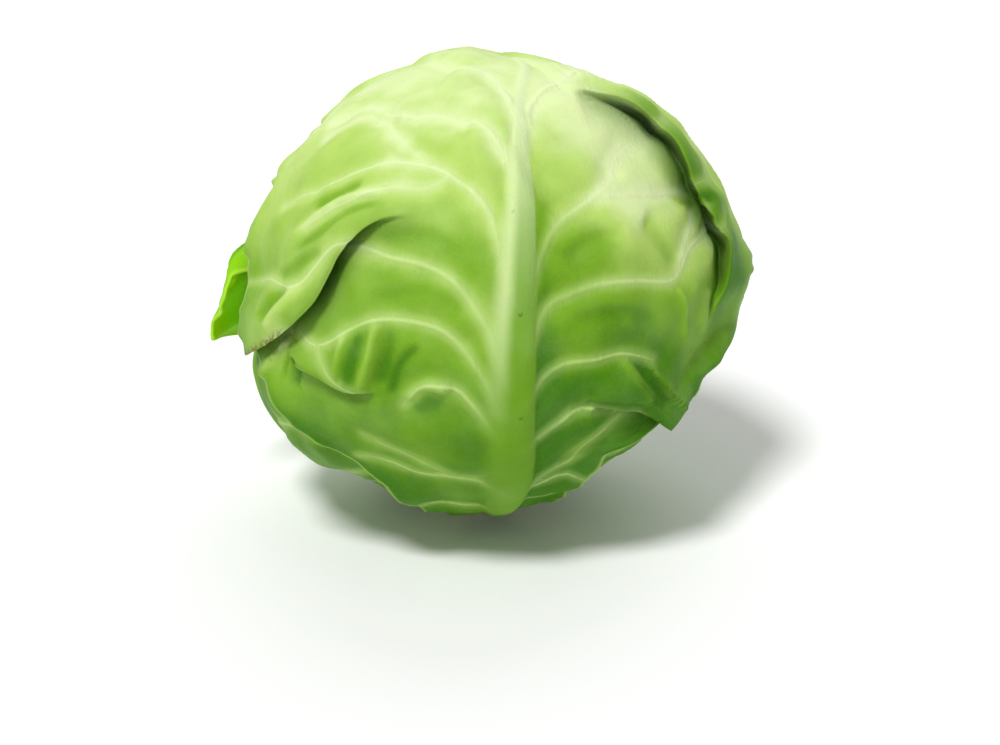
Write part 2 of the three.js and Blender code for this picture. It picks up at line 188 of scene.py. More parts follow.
LEAVES = [
    dict(
        name="left_leaf", azimuth=-84, least=0, step=2.4, seed=3,
        width=((-93, 7.6), (-85, 17), (-80, 27), (-75, 35), (-70, 42), (-60, 53), (-40, 66), (-10, 74),
               (20, 72), (40, 60), (54, 34)),
        flare_left=((-60, 0), (54, 0)), flare_right=((-60, 0), (54, 0)),
        wave=dict(height=0.4, length=31, phase=2.1),
        veins=(-70, -56, -40, -24, -8, 8, 24, 40),
    ),
    dict(
        name="back_leaf", azimuth=188, least=0, step=2.1, seed=7,
        width=((-93, 7.6), (-85, 17), (-80, 27), (-75, 35), (-70, 42), (-60, 54), (-42, 70), (-10, 79),
               (25, 78), (50, 64), (64, 44), (72, 24)),
        width_right=((-93, 7.6), (-85, 17), (-80, 27), (-75, 35), (-70, 42), (-60, 50), (-50, 58),
                     (-44, 68), (-38, 80), (-10, 82), (25, 78), (50, 64), (64, 44), (72, 24)),
        flare_left=((-60, 0), (72, 0)),
        flare_right=((-62, 2), (-36, 8), (-20, 15), (0, 15), (22, 14), (42, 7), (72, 0.5)),
        wave=dict(height=0.6, length=37, phase=1.0),
        veins=(-70, -57, -43, -27, -10, 7, 24, 40, 54),
    ),
    dict(
        name="right_leaf", azimuth=97, least=0, step=2.1, seed=11,
        width=((-93, 7.6), (-85, 17), (-80, 27), (-75, 36), (-70, 43), (-60, 52), (-40, 64), (-10, 72),
               (20, 70), (42, 58), (58, 36), (66, 18)),
        flare_left=((-60, 0), (66, 0)),
        flare_right=((-60, 1), (-30, 3.5), (0, 1.5), (30, 3), (66, 1)),
        wave=dict(height=1.2, length=34, phase=0.4),
        veins=(-71, -58, -43, -26, -9, 8, 24, 39, 52),
    ),
    dict(
        name="front_leaf", azimuth=9, least=1, step=2.1, seed=5,
        width=((-93, 7.6), (-85, 14), (-80, 18), (-75, 22), (-70, 26), (-60, 34), (-54, 46), (-48, 60),
               (-30, 80), (-5, 88), (30, 88), (50, 80), (70, 66), (84, 46), (93, 26)),
        width_right=((-93, 7.6), (-85, 14), (-80, 17), (-75, 19), (-65, 20), (-57, 21), (-50.5, 23),
                     (-47, 43), (-41, 54), (-36, 68), (-30, 80), (-5, 88), (30, 88), (50, 80), (70, 66),
                     (84, 46), (93, 26)),
        flare_left=((-60, 1), (-30, 1.5), (-10, 0.5), (20, 0), (93, 0.5)),
        flare_right=((-60, 1), (-34, 3.5), (-20, 5.5), (-6, 5.5), (5, 4.5), (11, 1), (20, 0.3), (93, 1)),
        wave=dict(height=1, length=29, phase=0.2),
        veins=(-78, -66, -54),
    ),
]
for leaf in LEAVES:
    leaf["chart"] = Chart(leaf["azimuth"])
    leaf["last"] = leaf["width"][-1][0]
    leaf.setdefault("width_right", leaf["width"])
for leaf in LEAVES:
    print(leaf["name"], "is", round(2 * DEGREE_MM * max(half for _, half in leaf["width"])), "mm wide")

# %% [markdown]
# ## Rows of a leaf
# The blade isn't laid out in level rows. Its rows climb away from the midrib, as the side veins do, so a row
# of the mesh runs roughly along a vein, and a crisp vein needs fewer faces. The margin has shallow lobes.

# %% Rows of a leaf
LOBE_SHARE, LOBE_TURN, SECOND_LOBE = 0.022, 5.4, 0.43


def climbed(row, x):
    """The chart height at x of the row that leaves the midrib at the height row."""
    return row + along(CLIMB, row) * (1 - np.exp(-np.abs(x) / CLIMB_REACH))


def row_of(x, y):
    row = np.array(y, float)
    for _ in range(8):
        row += y - climbed(row, x)
    return row


def width_at(leaf, row, side):
    return np.where(side < 0, along(leaf["width"], row), along(leaf["width_right"], row))


def half_width(leaf, row, side):
    turn = row / LOBE_TURN
    lobe = np.sin(turn + leaf["wave"]["phase"]) + 0.6 * np.sin(turn / SECOND_LOBE)
    return width_at(leaf, row, side) * (1 + LOBE_SHARE * lobe * smooth(-70, -40, row))


print("at its stalk a row leaves the midrib at", float(climbed(-93, 0)), "and climbs to",
      round(float(climbed(-60, 60)), 1), "degrees")

# %% [markdown]
# ## Layers
# Cover tells where a lower leaf lies. The lift of a leaf is the highest heap of layers and ribs below it.
# A plain maximum would leave sharp creases where two heaps meet, so a soft maximum, from exponentials,
# rounds them.

# %% Layers
RIB_ROUND = 1.4
SOFTNESS = 0.35


def elevation_of(d):
    return np.degrees(np.arcsin(np.clip(d[..., 2], -1, 1)))


def cover(leaf, d):
    """1 where the leaf covers a direction, falling to 0 a little outside its margin."""
    x, y = leaf["chart"].from_head(d)
    row = row_of(x, y)
    beyond_ends = np.maximum(row - leaf["last"], STALK_END - row)
    outside = np.maximum(np.abs(x) - width_at(leaf, row, x), beyond_ends)
    return (1 - smooth(*COVER_EDGE, outside)) * smooth(*SIDE_BY_SIDE, elevation_of(d))


def heart_radius(d):
    r = HEART_FOOT_RADIUS + (HEART_RADIUS - HEART_FOOT_RADIUS) * smooth(*HEART_FOOT, elevation_of(d))
    for s in SWELLINGS:
        near = np.clip(d @ direction(s["azimuth"], s["elevation"]), -1, 1)
        r = r + s["height"] * np.exp(-((np.degrees(np.arccos(near)) / s["reach"]) ** 2))
    return r


def rib_of(x, y):
    """How far a leaf's midrib lifts the leaves above it."""
    across = x / along(RIB_HALF, y)
    return along(RIB_HEIGHT, y) * np.exp(-(across**2) * RIB_ROUND) * (1 - smooth(*RIB_SUNK, y))


def lift_over(index, d):
    """How far leaf number index is lifted off the heart by the leaves below it, in millimetres."""
    heaps = [np.full(d.shape[:-1], LEAVES[index]["least"] * LAYER)]
    for i in range(index):
        covered = cover(LEAVES[i], d)
        under = lift_over(i, d)
        heaps.append(covered * (under + LAYER + rib_of(*LEAVES[i]["chart"].from_head(d))))
    top = np.max(heaps, axis=0)
    return top + SOFTNESS * np.log(sum(np.exp((h - top) / SOFTNESS) for h in heaps)) - SOFTNESS * math.log(2)


def bare(index, d):
    """1 where no later leaf lies over a direction, 0 where one does."""
    free = np.ones(d.shape[:-1])
    for later in LEAVES[index + 1:]:
        free = np.minimum(free, 1 - cover(later, d))
    return free


print("leaves, inner to outer:", [leaf["name"] for leaf in LEAVES])

# %% [markdown]
# ## Veins
# A cabbage leaf has one midrib. Side veins leave it at a narrow angle, run out towards the margin and fork,
# and small veins leave those in turn. Each vein is a path on the chart with a width that tapers. A few
# given points are enough for one, because a spline runs smoothly through them.

# %% Paths
VEIN_STEP = 2.5


def curve_through(points, step=VEIN_STEP):
    """A smooth path through hand-placed points, with a point about every step degrees."""
    p = np.array([points[0], *points, points[-1]], float)
    out = []
    for i in range(1, len(p) - 2):
        a, b, c, d = p[i - 1:i + 3]
        count = max(1, int(round(np.linalg.norm(c - b) / step)))
        for t in np.arange(count) / count:
            out.append(0.5 * (2 * b + (c - a) * t + (2 * a - 5 * b + 4 * c - d) * t**2
                              + (3 * b - a - 3 * c + d) * t**3))
    out.append(p[-2])
    return np.array(out)


class Vein:
    """A path on a chart, its half width at both ends and its height in mm, and how pale it is."""

    def __init__(self, path, half, end_half, height, tone=0.0, main=True):
        self.path, self.half, self.end_half, self.height = path, half, end_half, height
        self.tone, self.main = tone, main


print("a path through three points has", len(curve_through([(0, 0), (9, 3), (20, 4)])), "points")

# %% [markdown]
# ## The front leaf's veins, read off the photograph
# The front leaf's main veins follow the photograph, from the midrib outwards. Each is a few listed pixels,
# and on_head turns them into places on the globe.

# %% Veins of the front leaf
FRONT_VEINS = {
    "left_tip": [(521, 128), (511, 95), (498, 77), (476, 66), (451, 61), (429, 57)],
    "left_high": [(518, 205), (509, 168), (498, 143), (480, 124), (454, 114), (433, 108), (404, 111),
                  (382, 104), (360, 101), (330, 118)],
    "left_upper": [(514, 305), (502, 263), (491, 219), (473, 193), (451, 175), (433, 164), (403, 157),
                   (374, 161), (345, 172), (309, 186), (276, 204)],
    "left_middle": [(508, 385), (494, 346), (488, 330), (476, 310), (454, 281), (425, 265), (392, 257),
                    (344, 246), (301, 286), (269, 278), (248, 282)],
    "left_low": [(500, 415), (484, 379), (454, 339), (425, 324), (382, 319), (356, 326), (320, 344),
                 (291, 328), (278, 343)],
    "left_foot": [(498, 435), (469, 401), (454, 388), (433, 384), (418, 388), (404, 404)],
    "right_tip": [(525, 145), (529, 121), (531, 103), (542, 88), (560, 79), (585, 75), (603, 78)],
    "right_high": [(528, 285), (549, 237), (563, 219), (585, 203), (607, 186), (614, 172), (623, 150),
                   (651, 132)],
    "right_middle": [(526, 350), (545, 310), (567, 295), (600, 284), (636, 281), (676, 279), (691, 248),
                     (705, 226)],
    "right_low": [(524, 405), (542, 379), (563, 364), (593, 359), (622, 353), (651, 359)],
    "right_foot": [(524, 445), (560, 420), (582, 408), (629, 408)],
}
FRONT_FORKS = {
    "left_crown": [(433, 164), (411, 146), (393, 128), (382, 114), (360, 112), (320, 135)],
    "left_shoulder": [(451, 175), (425, 186), (389, 186), (345, 204), (305, 226)],
    "left_hem": [(320, 344), (334, 372), (349, 384), (365, 392)],
    "right_shoulder": [(607, 195), (636, 194), (676, 192), (690, 188)],
    "right_hem": [(676, 279), (692, 212)],
}
FRONT_MIDRIB = [(513, 455), (513, 420), (517, 330), (520, 250), (522, 180), (521, 130), (522, 90), (527, 60)]


def on_chart(leaf, pixels):
    """Pixels of the photograph as points of a leaf's chart."""
    return [np.array(leaf["chart"].from_head(on_head(pixel))) for pixel in pixels]


def midrib_of(leaf):
    points = [(0.0, STALK_END), (0.0, -60.0), (0.0, leaf["last"] - 6)]
    if leaf["name"] == "front_leaf":
        seen = on_chart(leaf, FRONT_MIDRIB)
        points = [(0.0, STALK_END), (0.0, -60.0), *seen, seen[-1] + (0.5, 9)]
    return curve_through(points)


print("hand-placed veins and forks:", len(FRONT_VEINS) + len(FRONT_FORKS))

# %% [markdown]
# ## Veins by rule
# The other leaves and the front leaf's foot aren't seen in the photograph, so a rule lays their veins out,
# with a seeded random wobble so that no two are the same. The small veins of every leaf come from a rule
# too: they leave a bigger one on both sides in turn. The random draws come in a fixed order, so each run
# grows the same leaf.

# %% Veins by rule
FRONT_MAIN = dict(half=1.5, end_half=0.5, height=0.8, tone=0.7)
FRONT_FORK = dict(half=0.9, end_half=0.4, height=0.5, tone=0.5)
RULE_MAIN = dict(half=1.4, end_half=0.45, height=0.8, tone=0.65)
RULE_FORK = dict(half=0.9, end_half=0.4, height=0.5, tone=0.45)
SMALL = dict(half=0.5, end_half=0.25, height=0.12, tone=0.1, main=False)
FORKS_WHERE_WIDER, SMALL_EVERY = 40, 7.5
VEIN_REACH, VEIN_TURNS, VEIN_WOBBLE = (0.86, 0.95), (0.8, 1.6), 2.2
ABOUT_A_TURN = 6.28


def side_vein(leaf, row, side, rng):
    """A side vein by rule: off the midrib at row, out to the margin, with a slow wobble."""
    reach = half_width(leaf, row, side) * rng.uniform(*VEIN_REACH)
    turns, phase = rng.uniform(*VEIN_TURNS), rng.uniform(0, ABOUT_A_TURN)
    share = np.linspace(0, 1, 9)
    wobble = VEIN_WOBBLE * share * np.sin(turns * ABOUT_A_TURN * share + phase)
    y = climbed(row, share * reach) + wobble
    return curve_through(np.stack([side * share * reach, y], 1))


def branch(path, at, angle, length, bend):
    """A small vein that leaves a path at a share of its length and bends back towards it."""
    i = int(at * (len(path) - 2))
    heading = math.atan2(*(path[i + 1] - path[i])[::-1]) + math.radians(angle)
    points = [path[i]]
    for k in range(5):
        points.append(points[-1] + length / 5 * np.array([math.cos(heading), math.sin(heading)]))
        heading -= math.radians(bend) / 5
    return curve_through(points)


def main_veins(leaf, rng):
    veins = []
    if leaf["name"] == "front_leaf":
        for mains, sizes in ((FRONT_VEINS, FRONT_MAIN), (FRONT_FORKS, FRONT_FORK)):
            veins += [Vein(curve_through(on_chart(leaf, pixels)), **sizes) for pixels in mains.values()]
    for row in leaf["veins"]:
        for side in (-1, 1):
            path = side_vein(leaf, row + rng.uniform(-3, 3), side, rng)
            veins.append(Vein(path, **RULE_MAIN))
            if along(leaf["width"], row) > FORKS_WHERE_WIDER:
                angle, length = side * rng.uniform(24, 34), rng.uniform(24, 34)
                fork = branch(path, rng.uniform(0.35, 0.5), angle, length, side * 16)
                veins.append(Vein(fork, **RULE_FORK))
    return veins


def small_veins(mains, rng):
    veins = []
    for vein in mains:
        length = len(vein.path) * VEIN_STEP
        side = 1
        for at in np.arange(0.16, 0.95, SMALL_EVERY / length) + rng.uniform(-0.02, 0.02):
            side = -side
            angle, run = side * rng.uniform(34, 52), rng.uniform(7, 13)
            twig = branch(vein.path, at, angle, run, side * rng.uniform(10, 34))
            veins.append(Vein(twig, **SMALL))
    return veins


def veins_of(leaf):
    rng = np.random.default_rng(leaf["seed"])
    mains = main_veins(leaf, rng)
    return mains + small_veins(mains, rng)


leaf_veins = {leaf["name"]: veins_of(leaf) for leaf in LEAVES}
print("veins", {name: len(veins) for name, veins in leaf_veins.items()})

# %% [markdown]
# ## How far a point is from the nearest vein
# The relief and the colour of a leaf both need one thing: for each point of the blade, the vein beside it
# and how far it is. All the veins are cut into straight bits, and the nearest bit is found for every point
# at once with numpy. The distance is also kept with a sign, left or right of the vein, because a signed
# distance passes cleanly through zero between two mesh points and keeps even a thin vein sharp.

# %% Distances
POINTS_AT_ONCE = 6000
WIDE_FIRST = 0.8


def bits_of(veins):
    """The straight bits of all veins: both ends, half width, height and tone, which fade along a vein."""
    rows = []
    for vein in veins:
        count = len(vein.path) - 1
        for i in range(count):
            t = i / count
            half = vein.half + (vein.end_half - vein.half) * t
            tone = vein.tone * (0.3 + 0.7 * smooth(0.1, 0.45, t)) * (1 - 0.9 * smooth(0.7, 1, t))
            height = vein.height * (1 - 0.5 * t) * (1 - smooth(0.85, 1, t))
            rows.append((*vein.path[i], *vein.path[i + 1], half, height, tone))
    return np.array(rows)


def nearest_bit(bits, x, y):
    """For each point: signed and plain distance in mm to the nearest bit, its half width, ridge and tone."""
    out = np.zeros((5, len(x)))
    x0, y0, x1, y1, half, height, tone = bits.T
    dx, dy = x1 - x0, y1 - y0
    length = dx * dx + dy * dy
    for first in range(0, len(x), POINTS_AT_ONCE):
        part = slice(first, first + POINTS_AT_ONCE)
        px, py = x[part, None] - x0, y[part, None] - y0
        t = np.clip((px * dx + py * dy) / length, 0, 1)
        away = np.hypot(px - t * dx, py - t * dy) * DEGREE_MM
        best = np.argmin(away - half * WIDE_FIRST, axis=1)
        pick = np.arange(len(best)), best
        side = np.sign(dx[best] * py[pick] - dy[best] * px[pick])
        plain = away[pick]
        ridge = np.max(height * np.exp(-1.1 * (away / half) ** 2), axis=1)
        out[:, part] = side * plain, plain, half[best], ridge, tone[best]
    return out


print("straight bits of vein:", {name: len(bits_of(veins)) for name, veins in leaf_veins.items()})

# %% [markdown]
# ## Folds
# Where the leaf had too much blade for its place it folded over itself. Seen from the side such a fold is a
# flat S: the upper lobe ends in a rounded lip, the blade turns back under it and comes out as the lower
# lobe. A height map can't make an overhang, so the fold also moves points sideways. Across the fold, d is
# the distance along the blade; the two lobes are pulled together and the strip between them becomes the S.
# The fold also leaves marks for the finish: painted shade where the blade is in the dark under the lip,
# where it is greener, and where the lip is torn.

# %% Fold a leaf along a path
FOLD_STEP, STEEPER = 1.5, 0.6


class Fold:
    """Millimetres: the lip's height, half of the strip that turns over, and how far the lip overhangs.

    The fold grows over a share of its path, and from the share fade on it weakens to the share kept. The
    upper lobe is greener by deepen, and its lip is torn and brown from the share torn on.
    """

    def __init__(self, path, upper, height, strip, overhang, reach=20.0, grow=0.3, fade=1.0, kept=0.0,
                 shoulder=0.0, deepen=0.0, torn=2.0):
        self.path, self.upper = curve_through(path, FOLD_STEP), upper
        self.height, self.strip, self.overhang = height, strip, overhang
        self.reach, self.grow = reach, grow
        self.fade, self.kept, self.shoulder = fade, kept, shoulder
        self.deepen, self.torn = deepen, torn


def near_path(path, x, y):
    """Signed distance in mm (positive to the left), share of the path run, and the normal to the left."""
    x0, y0 = path[:-1].T
    dx, dy = path[1:].T - path[:-1].T
    px, py = x[:, None] - x0, y[:, None] - y0
    t = np.clip((px * dx + py * dy) / (dx * dx + dy * dy), 0, 1)
    away = np.hypot(px - t * dx, py - t * dy)
    best = np.argmin(away, axis=1)
    pick = np.arange(len(best)), best
    side = np.sign(dx[best] * py[pick] - dy[best] * px[pick])
    share = (best + t[pick]) / (len(path) - 1)
    slope = np.gradient(path, axis=0)
    step, count = share * (len(path) - 1), np.arange(len(path))
    ahead, aside = (np.interp(step, count, slope[:, k]) for k in (0, 1))
    normal = np.stack([-aside, ahead], 1) / np.hypot(ahead, aside)[:, None]
    return side * away[pick] * DEGREE_MM, share, normal


def fold_over(fold, x, y):
    """The chart points moved by a fold, the lift in mm, and three marks: painted shade under the lip,
    greener, torn.
    """
    d, share, normal = near_path(fold.path, x, y)
    d = d * fold.upper
    strong = np.sqrt(smooth(0, fold.grow, share))
    if fold.fade < 1:
        strong = strong * (1 - (1 - fold.kept) * smooth(fold.fade, 1, share))
    w = fold.strip
    pull = w * strong
    push = (w + fold.overhang) * strong
    above = d - pull * np.exp(-(d - w) / fold.reach)
    below = d + push * np.exp((d + w) / fold.reach)
    s = np.clip((d + w) / (2 * w), 0, 1)
    start, end, slope = -w + push, w - pull, 2 * w * (1 + STEEPER * strong)
    turn = ((2 * s**3 - 3 * s**2 + 1) * start + (s**3 - 2 * s**2 + s) * slope
            + (-2 * s**3 + 3 * s**2) * end + (s**3 - s**2) * slope)
    moved = np.where(d > w, above, np.where(d < -w, below, turn))
    rise = np.where(d > w, np.exp(-((np.maximum(d - w, 0) / (2.2 * fold.reach)) ** 2)), smooth(0, 1, s))
    bulge = fold.shoulder * np.exp(-(((d + 2.4 * w) / (1.3 * w)) ** 2))
    shift = (moved - d) * fold.upper / DEGREE_MM
    # The first mark is painted shade under the lip, the second a greener upper lobe, the third the torn lip.
    marks = np.stack([
        strong * np.exp(-(((d + w * 0.9) / (1.5 * w)) ** 2)),
        fold.deepen * strong * smooth(0, w, d) * (1 - smooth(8, 26, d)),
        np.exp(-(((d - 0.9 * w) / 1.6) ** 2)) * smooth(fold.torn, fold.torn + 0.06, share),
    ])
    moved_x, moved_y = x + normal[:, 0] * shift, y + normal[:, 1] * shift
    return moved_x, moved_y, strong * (fold.height * rise + bulge), marks


print("a fold's path has a point every", round(FOLD_STEP * DEGREE_MM, 1), "mm")

# %% [markdown]
# ## Where the leaves are folded
# Four folds of the front leaf are read off the photograph: the two big ones, and two small ones low on the
# left and the right. The back and the right leaf get one each, so that the far side isn't plainer.

# %% Folds of each leaf
LEFT_FOLD = [(424, 214), (411, 217), (398, 219), (382, 221), (360, 230), (345, 241), (334, 255), (324, 277),
             (309, 303), (291, 321), (268, 338), (246, 356)]
RIGHT_FOLD = [(572, 92), (593, 90), (620, 103), (652, 121), (674, 143), (692, 166), (709, 193), (720, 220),
              (728, 243), (731, 262), (731, 282), (727, 312)]
HEM_FOLD = [(286, 350), (303, 360), (318, 369), (334, 379), (349, 386), (368, 391)]
PUCKER_FOLD = [(588, 409), (606, 405), (626, 404), (640, 408), (654, 417)]
LEFT_LIFT, RIGHT_LIFT = 6.2, 8.4


def fold_path(leaf, pixels, lift, beyond):
    """A fold's pixels on the chart. Its lip stands off the head more and more, and runs on past its end."""
    shares = np.linspace(0, 1, len(pixels)) * 2
    marked = [on_head(pixel, min(1, share) * lift) for pixel, share in zip(pixels, shares)]
    points = [np.array(leaf["chart"].from_head(d)) for d in marked]
    heading = points[-1] - points[-3]
    return [*points, points[-1] + heading / np.linalg.norm(heading) * beyond]


front = LEAVES[3]
leaf_folds = {
    "left_leaf": [],
    "back_leaf": [Fold([(28, 30), (44, 24), (60, 12), (84, -12)], 1, 4.4, 3.2, 1.5, fade=0.7)],
    "right_leaf": [Fold([(24, 36), (40, 36), (56, 28), (76, 10)], 1, 4.4, 3.2, 1.5, fade=0.7)],
    "front_leaf": [
        Fold(fold_path(front, LEFT_FOLD, LEFT_LIFT, 12), -1, LEFT_LIFT, 4.4, 5.4, reach=13, grow=0.35,
             fade=0.65, kept=0.35, shoulder=-0.8, torn=0.6),
        Fold(fold_path(front, RIGHT_FOLD, RIGHT_LIFT, 12), 1, RIGHT_LIFT, 6.0, 6.4, grow=0.28, fade=0.68,
             shoulder=1.6, deepen=0.6),
        Fold(fold_path(front, HEM_FOLD, 0, 4), 1, 4.6, 2.6, 2.8, reach=8, fade=0.7),
        Fold(fold_path(front, PUCKER_FOLD, 0, 3), 1, 5.0, 2.6, 3.0, reach=7, fade=0.8),
    ],
}
print("folds", {name: len(folds) for name, folds in leaf_folds.items()})

# %% [markdown]
# ## Unevenness
# The whole surface of a leaf is slightly uneven, as skin stretched over something. A noise texture could
# move the points, but a sum of a few sine waves in random directions is cheap, smooth and the same in every
# run.

# %% Unevenness
def unevenness(d, wavelength_mm, seed, count=14):
    rng = np.random.default_rng(seed)
    total = np.zeros(d.shape[:-1])
    for _ in range(count):
        way = rng.normal(size=3)
        way *= 2 * math.pi * HEAD_RADIUS / wavelength_mm / np.linalg.norm(way) * rng.uniform(0.7, 1.3)
        total += np.sin(d @ way + rng.uniform(0, ABOUT_A_TURN))
    return total / math.sqrt(count / 2)


print("unevenness straight up:", round(float(unevenness(np.array([[0.0, 0.0, 1.0]]), 46, 5)[0]), 2))

# %% [markdown]
# ## Creases
# Firm blades also crumple: short ridges and valleys run beside the folds and between the veins. Sculpting
# them by hand would be quick but couldn't be repeated. Here each is a path with a half width and a height
# in mm, negative for a valley, and its cross-section is a bell curve.

# %% Creases
CREASES = {
    "left_ridge": (2.1, 2.5, [(376, 318), (373, 350), (364, 392)]),
    "left_valley": (2.8, -2.8, [(360, 322), (356, 352), (350, 390)]),
    "left_second_ridge": (2.2, 1.8, [(346, 328), (342, 378)]),
    "left_third_valley": (2.8, -2.0, [(390, 318), (388, 350), (380, 386)]),
    "left_nick": (1.7, -2.4, [(424, 344), (408, 354), (397, 370), (391, 396)]),
    "left_arch": (3.0, 2.0, [(404, 404), (416, 389), (436, 386), (452, 394)]),
    "under_arch": (3.0, -1.6, [(412, 412), (428, 400), (446, 404)]),
    "lobe_ridge": (3.0, 2.0, [(308, 282), (292, 302), (276, 328)]),
    "lobe_valley": (2.6, -2.0, [(292, 282), (280, 300), (268, 318)]),
    "tongue_ridge": (2.4, 2.2, [(292, 336), (281, 344), (275, 358), (271, 376)]),
    "tongue_valley": (1.5, -2.2, [(291, 350), (288, 362), (289, 378)]),
    "tongue_hole": (1.8, -4.0, [(298, 354), (299, 368), (299, 386)]),
    "right_wedge": (5.0, -2.6, [(641, 214), (660, 240), (678, 268)]),
    "right_ridge": (1.6, 1.2, [(680, 285), (682, 318), (683, 345)]),
    "corner_ridge": (1.9, 1.8, [(618, 356), (630, 376), (642, 396)]),
    "corner_valley": (1.9, -2.2, [(630, 356), (643, 378), (655, 398)]),
    "corner_second_ridge": (1.9, 1.6, [(642, 360), (654, 380), (668, 398)]),
    "pucker_valley": (1.8, -2.0, [(566, 414), (590, 404), (620, 400), (640, 404)]),
    "shoulder_valley": (2.8, -2.3, [(392, 200), (353, 208), (320, 234), (291, 250)]),
    "shoulder_ridge": (2.6, 1.8, [(395, 190), (350, 197), (312, 218), (284, 240)]),
    "wing_valley": (2.6, -2.0, [(366, 180), (338, 192), (312, 207)]),
    "wing_pleat": (2.4, -1.6, [(330, 250), (305, 262), (280, 280)]),
    "crown_pleat": (3.2, -1.2, [(458, 150), (425, 140), (398, 142)]),
    "middle_pleat": (3.0, -1.2, [(470, 262), (436, 238), (402, 234), (372, 240)]),
    "low_pleat": (3.0, -1.2, [(468, 318), (436, 296), (400, 292), (368, 300)]),
    "right_pleat": (3.2, -1.3, [(562, 262), (590, 240), (626, 232)]),
    "right_low_pleat": (3.0, -1.3, [(560, 330), (592, 314), (630, 312), (660, 322)]),
    "edge_notch": (2.0, -2.0, [(672, 196), (684, 200), (696, 208)]),
    "edge_lobe": (4.0, 1.6, [(700, 215), (704, 240), (700, 262)]),
    "edge_low_lobe": (4.0, 1.6, [(704, 285), (702, 308), (694, 334)]),
}
crease_paths = {name: curve_through(on_chart(front, pixels)) for name, (_, _, pixels) in CREASES.items()}


def crease_relief(leaf, x, y):
    """Ridges and valleys of the front leaf in mm, each with its own half width, fading at both ends."""
    total = np.zeros(len(x))
    if leaf["name"] != "front_leaf":
        return total
    for name, (half, height, _) in CREASES.items():
        d, share, _ = near_path(crease_paths[name], x, y)
        total += height * np.exp(-((d / half) ** 2)) * smooth(0, 0.25, share) * (1 - smooth(0.75, 1, share))
    return total


print("ridges", sum(height > 0 for _, height, _ in CREASES.values()), "of", len(CREASES), "creases")

# %% [markdown]
# ## Where the leaf is greener
# A leaf is palest at its tip and deepest green near its stalk; low on the head that deep green is partly
# the leaf's own tone and partly painted shade. The front leaf departs from that in a few places: these
# spots are partly its own tone and partly painted light and shade. Painting them would need an image. A
# soft spot of its own, by pixel, reach in degrees and amount (+ is greener), does it for each, and the
# result is kept as an attribute of the mesh for the finish to read.

# %% Greener places
TIP_GREEN, STALK_GREEN, GREEN_ROWS = 0.08, 0.95, (-62, 82)
RIM_GREEN, RIM_GREEN_MM = 0.25, 10
# These spots are partly the leaf's own tone and partly painted light and shade.
GREEN_PLACES = {
    "beside_rib": ((566, 250), 14, 0.22),
    "left_of_high_rib": ((488, 262), 8, 0.15),
    "right_low": ((596, 385), 20, 0.27),
    "right_low_edge": ((655, 352), 12, 0.2),
    "left_low": ((395, 345), 16, 0.12),
    "left_middle": ((415, 240), 14, 0.14),
    "left_wing": ((305, 225), 20, 0.05),
    "right_crown": ((605, 120), 18, -0.3),
    "right_edge": ((700, 250), 12, -0.16),
    "left_of_rib": ((488, 330), 9, -0.1),
    "right_wing": ((640, 225), 12, -0.3),
    "tongue": ((275, 350), 12, -0.25),
    "left_shoulder": ((340, 165), 18, 0.12),
}
RIB_SHADOW, RIB_SHADOW_TOP, RIB_SHADOW_AT, RIB_SHADOW_WIDE = 0.3, (0, 40), 1.3, 0.7
# Crease valleys get deeper green as painted shade, and ridges paler as painted light.
CREASE_PAINTED_SHADE = 0.09


def green_share(leaf, x, y, rim):
    """0 where the blade is palest, near its tip, to 1 where it is deepest green, near the stalk."""
    # The deeper green low on the head is partly the leaf's own tone and partly painted shade.
    share = STALK_GREEN - (STALK_GREEN - TIP_GREEN) * smooth(*GREEN_ROWS, y)
    if leaf["name"] == "front_leaf":
        for pixel, reach, amount in GREEN_PLACES.values():
            px, py = leaf["chart"].from_head(on_head(pixel))
            share = share + amount * np.exp(-(np.hypot(x - px, y - py) / reach) ** 2)
    return share + RIM_GREEN * np.exp(-rim / RIM_GREEN_MM)


print("greener and paler places:", len(GREEN_PLACES))

# %% [markdown]
# ## The margin
# A leaf's margin grew faster than its middle, so it stands off the head, waves, and is finely frilled. The
# three are added up, each over its own depth from the edge. Where a later leaf lies on the margin it is
# pressed flat, which is done when the blade is put together.

# %% Margin
FLARE_DEPTH, WAVE_DEPTH, FRILL_DEPTH = 17.0, 13.0, 6.0
FRILL_LENGTH, FINE_FRILL_LENGTH, OTHER_SIDE = 15.3, 6.9, 1.7
MARGIN_GROWS = (-88, -60)


def margin_lift(leaf, x, y, row, side):
    inside = half_width(leaf, row, side) - np.abs(x)
    flare = np.where(side < 0, along(leaf["flare_left"], y), along(leaf["flare_right"], y))
    wave = leaf["wave"]
    turn = np.sin(math.tau * y / wave["length"] + wave["phase"] + np.where(side < 0, OTHER_SIDE, 0))
    frill = np.sin(math.tau * y / FRILL_LENGTH + 2.4 * turn)
    frill += 0.4 * np.sin(math.tau * y / FINE_FRILL_LENGTH + 3 * turn)
    lift = flare * (1 - smooth(0, FLARE_DEPTH, inside))
    lift += wave["height"] * (1 + turn) * (1 - smooth(0, WAVE_DEPTH, inside))
    lift += (0.5 * wave["height"] + 0.05 * flare) * frill * (1 - smooth(0, FRILL_DEPTH, inside))
    return smooth(*MARGIN_GROWS, row) * lift


print("flare of the back leaf, mm:", [height for _, height in LEAVES[1]["flare_right"]])

# %% [markdown]
# ## The blade, put together
# For every grid point this works out its place on the head and what the finish needs to know there. Between
# the veins the blade of a firm head swells a little, which comes from the distance to the veins. The midrib
# is lopsided, with a steep right edge, as in the photograph. Where another leaf lies on top, the relief is
# pressed down.

